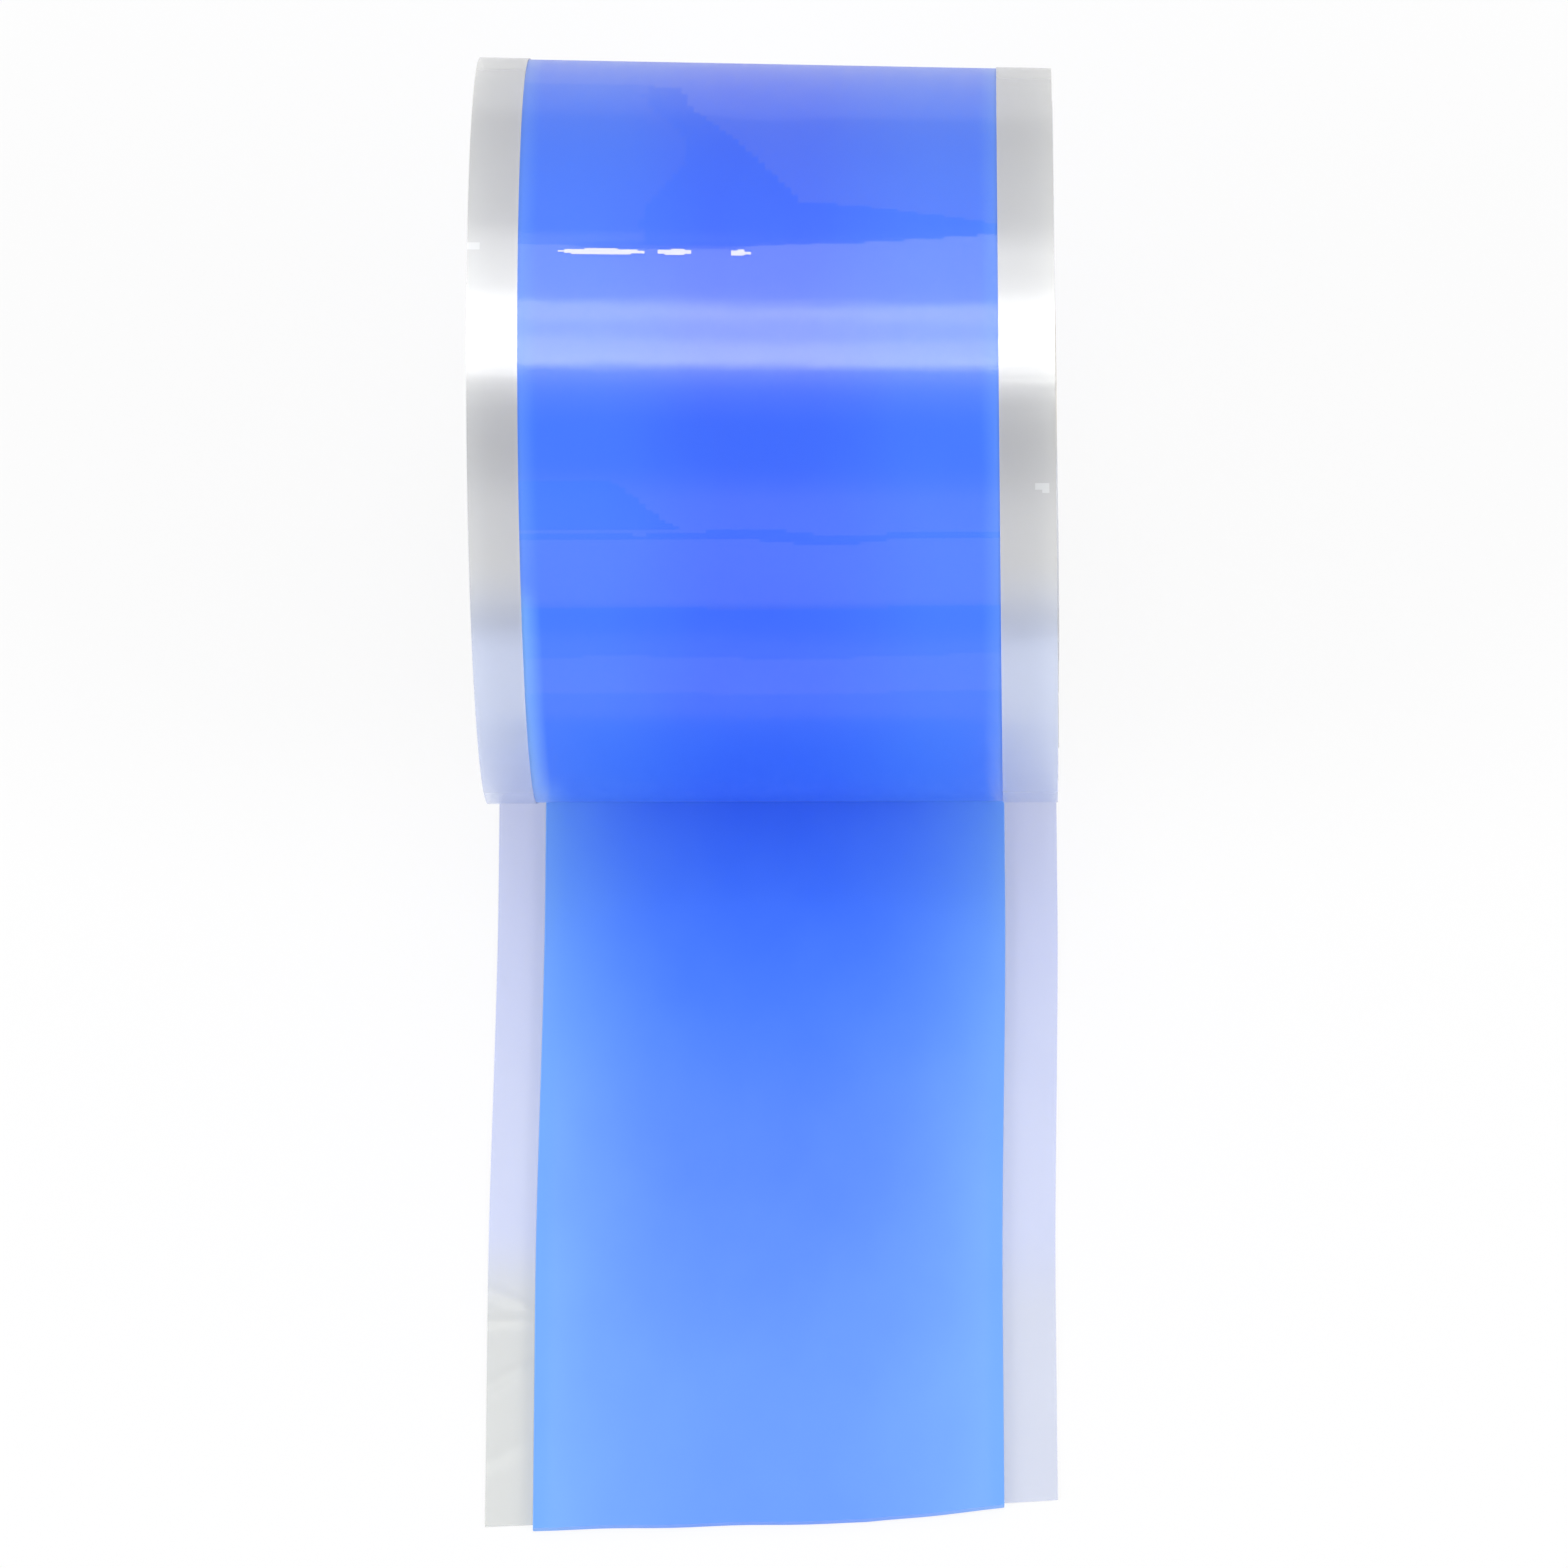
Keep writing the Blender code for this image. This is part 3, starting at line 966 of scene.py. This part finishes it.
# Floor, light and camera

FLOOR_SIZE = 12.0
FLOOR_GLOW = 0.85


class Softbox(NamedTuple):
    """A soft light over the roll between two angles from straight up: minus is behind, plus in front."""

    name: str
    start: float
    stop: float
    radiance: float


SOFTBOXES = [
    Softbox("back_light", -37.0, -14.8, 1.25),
    Softbox("key_light_behind", -14.8, -7.8, 3.5),
    Softbox("key_light_middle", -7.8, -3.6, 2.7),
    Softbox("key_light_front", -3.6, 5.4, 3.8),
]
SOFTBOX_HEIGHT = 0.9
SOFTBOX_WIDTH = 0.3
SIDE_LIGHT_PLACE = Vector((0.8, -0.35, 0.55))
SIDE_LIGHT_SIZE = 0.5
SIDE_LIGHT_RADIANCE = 4.5

CAMERA_ELEVATION = math.radians(66)
CAMERA_DISTANCE = 0.595
CAMERA_AIM = Vector((1.07 * MM, -11.4 * MM, 0))
SENSOR_WIDTH = 36.0
LENS = 250.0
CLIP_START = 0.01

# Brightness of the room against the angle from straight up: minus is behind the roll, plus in front
ROOM = (
    (-180, 0.42), (-95, 0.62), (-75, 0.66), (-45, 0.78), (-37, 0.50), (0, 0.50),
    (5, 1.50), (9, 0.95), (12, 0.55), (16, 0.35), (22, 0.15), (36, 0.20),
    (46, 0.65), (60, 0.75), (78, 0.75), (84, 0.15), (95, 0.30), (180, 0.42),
)


def build_floor():
    """A pale floor that keeps the shadow, and is near white for the camera, in mirrors and through glass."""
    half = FLOOR_SIZE / 2
    mesh = bpy.data.meshes.new("floor")
    corners = [(-half, -half, -FLOOR_DROP), (half, -half, -FLOOR_DROP), (half, half, -FLOOR_DROP)]
    corners.append((-half, half, -FLOOR_DROP))
    mesh.from_pydata(corners, [], [(0, 1, 2, 3)])
    made, tree, shader = new_material("pale_floor", (0.94, 0.94, 0.94), 0.9)
    path = add_node(tree, "ShaderNodeLightPath")
    seen = add_node(tree, "ShaderNodeMath", operation="ADD", use_clamp=True)
    seen_all = add_node(tree, "ShaderNodeMath", operation="ADD", use_clamp=True)
    share = add_node(tree, "ShaderNodeMath", {1: FLOOR_GLOW}, operation="MULTIPLY")
    glow = add_node(tree, "ShaderNodeEmission", {"Color": (1, 1, 1, 1), "Strength": 1.0})
    mixed = add_node(tree, "ShaderNodeMixShader")
    tree.links.new(path.outputs["Is Camera Ray"], seen.inputs[0])
    tree.links.new(path.outputs["Is Glossy Ray"], seen.inputs[1])
    tree.links.new(seen.outputs["Value"], seen_all.inputs[0])
    tree.links.new(path.outputs["Is Transmission Ray"], seen_all.inputs[1])
    tree.links.new(seen_all.outputs["Value"], share.inputs[0])
    tree.links.new(share.outputs["Value"], mixed.inputs[0])
    tree.links.new(shader.outputs["BSDF"], mixed.inputs[1])
    tree.links.new(glow.outputs["Emission"], mixed.inputs[2])
    tree.links.new(mixed.outputs["Shader"], tree.nodes["Material Output"].inputs["Surface"])
    mesh.materials.append(made)
    floor = bpy.data.objects.new("floor", mesh)
    bpy.context.scene.collection.objects.link(floor)


def build_room():
    """A plain room that is darker on the viewer's side, as a photographer's flag makes it."""
    world = bpy.data.worlds.new("room")
    world.use_nodes = True
    tree = world.node_tree
    spot = add_node(tree, "ShaderNodeTexCoord")
    parts = add_node(tree, "ShaderNodeSeparateXYZ")
    towards = add_node(tree, "ShaderNodeMath", {1: -1.0}, operation="MULTIPLY")
    angle = add_node(tree, "ShaderNodeMath", operation="ARCTAN2")
    share = add_node(tree, "ShaderNodeMapRange", {"From Min": -math.pi, "From Max": math.pi})
    shades = colour_ramp(
        tree, share.outputs["Result"], [((degrees + 180) / 360, (level,) * 3) for degrees, level in ROOM]
    )
    tree.links.new(spot.outputs["Generated"], parts.inputs["Vector"])
    tree.links.new(parts.outputs["Y"], towards.inputs[0])
    tree.links.new(towards.outputs["Value"], angle.inputs[0])
    tree.links.new(parts.outputs["Z"], angle.inputs[1])
    tree.links.new(angle.outputs["Value"], share.inputs["Value"])
    tree.links.new(shades, tree.nodes["Background"].inputs["Color"])
    bpy.context.scene.world = world


def add_light(name, place, aim, size, radiance):
    light = bpy.data.lights.new(name, "AREA")
    light.shape = "RECTANGLE"
    light.size, light.size_y = size
    light.energy = radiance * math.pi * size[0] * size[1]
    lamp = bpy.data.objects.new(name, light)
    lamp.location = place
    lamp.rotation_euler = (aim - place).to_track_quat("-Z", "Y").to_euler()
    lamp.visible_camera = False
    bpy.context.scene.collection.objects.link(lamp)


def build_lights():
    for box in SOFTBOXES:
        back = -SOFTBOX_HEIGHT * math.tan(math.radians(box.start))
        front = -SOFTBOX_HEIGHT * math.tan(math.radians(box.stop))
        place = Vector((0, (back + front) / 2, SOFTBOX_HEIGHT))
        below = Vector((0, place.y, 0))
        add_light(box.name, place, below, (SOFTBOX_WIDTH, back - front), box.radiance)
    for name, side in (("left_light", -1), ("right_light", 1)):
        place = Vector((side * SIDE_LIGHT_PLACE.x, SIDE_LIGHT_PLACE.y, SIDE_LIGHT_PLACE.z))
        add_light(name, place, Vector((0, 0, 0)), (SIDE_LIGHT_SIZE, SIDE_LIGHT_SIZE), SIDE_LIGHT_RADIANCE)


def build_camera():
    lens = bpy.data.cameras.new("camera")
    lens.sensor_width = SENSOR_WIDTH
    lens.lens = LENS
    lens.clip_start = CLIP_START
    camera = bpy.data.objects.new("camera", lens)
    away = Vector((0, -math.cos(CAMERA_ELEVATION), math.sin(CAMERA_ELEVATION)))
    camera.location = CAMERA_AIM + away * CAMERA_DISTANCE
    camera.rotation_euler = (math.pi / 2 - CAMERA_ELEVATION, 0, 0)
    bpy.context.scene.collection.objects.link(camera)
    bpy.context.scene.camera = camera


build_winding()
build_turns()
build_base()
build_tail()
build_core()
build_tack()
build_floor()
build_room()
build_lights()
build_camera()
bpy.context.scene.view_settings.view_transform = "Standard"
